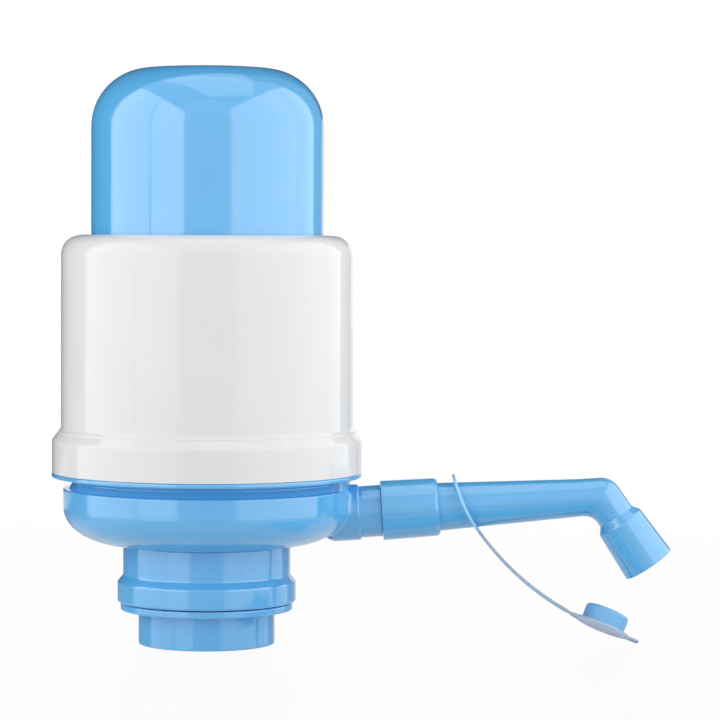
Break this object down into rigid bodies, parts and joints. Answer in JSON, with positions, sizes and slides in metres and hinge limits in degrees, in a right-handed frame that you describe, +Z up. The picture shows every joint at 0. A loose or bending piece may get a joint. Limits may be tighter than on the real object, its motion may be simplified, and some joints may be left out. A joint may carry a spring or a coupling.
{
  "type": "water jug hand pump",
  "caption": "Hand pump for a large water bottle: a press dome works a bellows in a round casing over a bottle-neck socket, and a swivelling spout with a tethered dust cap.",
  "frame": {"origin": "centre of the bottle-neck socket's lower end, on the pump's main axis", "axes": "+Z up along the pump's main axis, +X towards the spout"},
  "size_m": [0.2631, 0.1318, 0.2459],
  "materials": {
    "blue_abs": "glossy moulded light blue ABS",
    "white_abs": "glossy moulded white ABS",
    "tether_polythene": "soft satin light blue polythene, slightly translucent",
    "seal_rubber": "matt translucent white silicone rubber",
    "bellows_rubber": "satin moulded grey white rubber",
    "inner_plastic": "natural white polypropylene"
  },
  "bodies": {
    "base": {"base_bowl": "blue_abs", "casing": "white_abs", "air_deck": "inner_plastic", "deck_gasket": "seal_rubber", "bellows_clamp_ring": "inner_plastic", "bellows": "bellows_rubber", "water_elbow": "inner_plastic", "elbow_seal": "seal_rubber", "suction_nipple": "inner_plastic", "nipple_seal": "seal_rubber", "bottle_gasket": "seal_rubber", "grip_ring": "seal_rubber"},
    "collar": {"lock_collar": "blue_abs"},
    "sleeve": {"neck_sleeve": "blue_abs"},
    "plunger": {"press_dome": "blue_abs", "bellows_top_plate": "inner_plastic"},
    "intake_poppet": {"intake_valve": "seal_rubber"},
    "outlet_poppet": {"outlet_valve": "seal_rubber"},
    "spout": {"spout_coupling": "blue_abs", "spout_pipe": "blue_abs", "spout_seal": "seal_rubber"},
    "tether_loop": {"tether_ring": "tether_polythene"},
    "tether_link": {"tether_strap": "tether_polythene"},
    "cap": {"dust_cap": "tether_polythene"}
  },
  "joints": [
    {"name": "press", "type": "slide", "parent": "base", "child": "plunger", "axis": [0, 0, -1], "range_m": [0, 0.055], "stiffness_N_per_m": 400, "springref_m": -0.015, "deforming": ["bellows"]},
    {"name": "collar_turn", "type": "hinge", "parent": "base", "child": "collar", "pos_m": [0, 0, 0.03], "axis": [0, 0, 1], "range_deg": [0, 80]},
    {"name": "sleeve_slide", "type": "slide", "parent": "base", "child": "sleeve", "axis": [0, 0, 1], "range_m": [-0.003, 0]},
    {"name": "intake_lift", "type": "slide", "parent": "plunger", "child": "intake_poppet", "axis": [0, 0, -1], "range_m": [0, 0.0012], "stiffness_N_per_m": 20, "springref_m": -0.003},
    {"name": "outlet_lift", "type": "slide", "parent": "base", "child": "outlet_poppet", "axis": [0, 0, -1], "range_m": [0, 0.0012], "stiffness_N_per_m": 20, "springref_m": -0.003},
    {"name": "spout_swivel", "type": "hinge", "parent": "base", "child": "spout", "pos_m": [0.0653, 0, 0.0563], "axis": [0.9976, 0, 0.0691], "continuous": true},
    {"name": "tether_turn", "type": "hinge", "parent": "spout", "child": "tether_loop", "pos_m": [0.1096, 0, 0.05937], "axis": [0.9063, 0, 0.4226], "continuous": true},
    {"name": "strap_flex", "type": "hinge", "parent": "tether_loop", "child": "tether_link", "pos_m": [0.11671, 0, 0.04733], "axis": [0, 1, 0], "range_deg": [-10, 25], "stiffness_Nm_per_rad": 0.05, "springref_deg": -0.81},
    {"name": "cap_flex", "type": "hinge", "parent": "tether_link", "child": "cap", "pos_m": [0.15788, 0, 0.01207], "axis": [0, 1, 0], "range_deg": [-30, 30], "stiffness_Nm_per_rad": 0.02, "springref_deg": -0.4}
  ],
  "couplings": [
    {"joint": "sleeve_slide", "follows": "collar_turn", "m_per_rad": -0.002148}
  ]
}
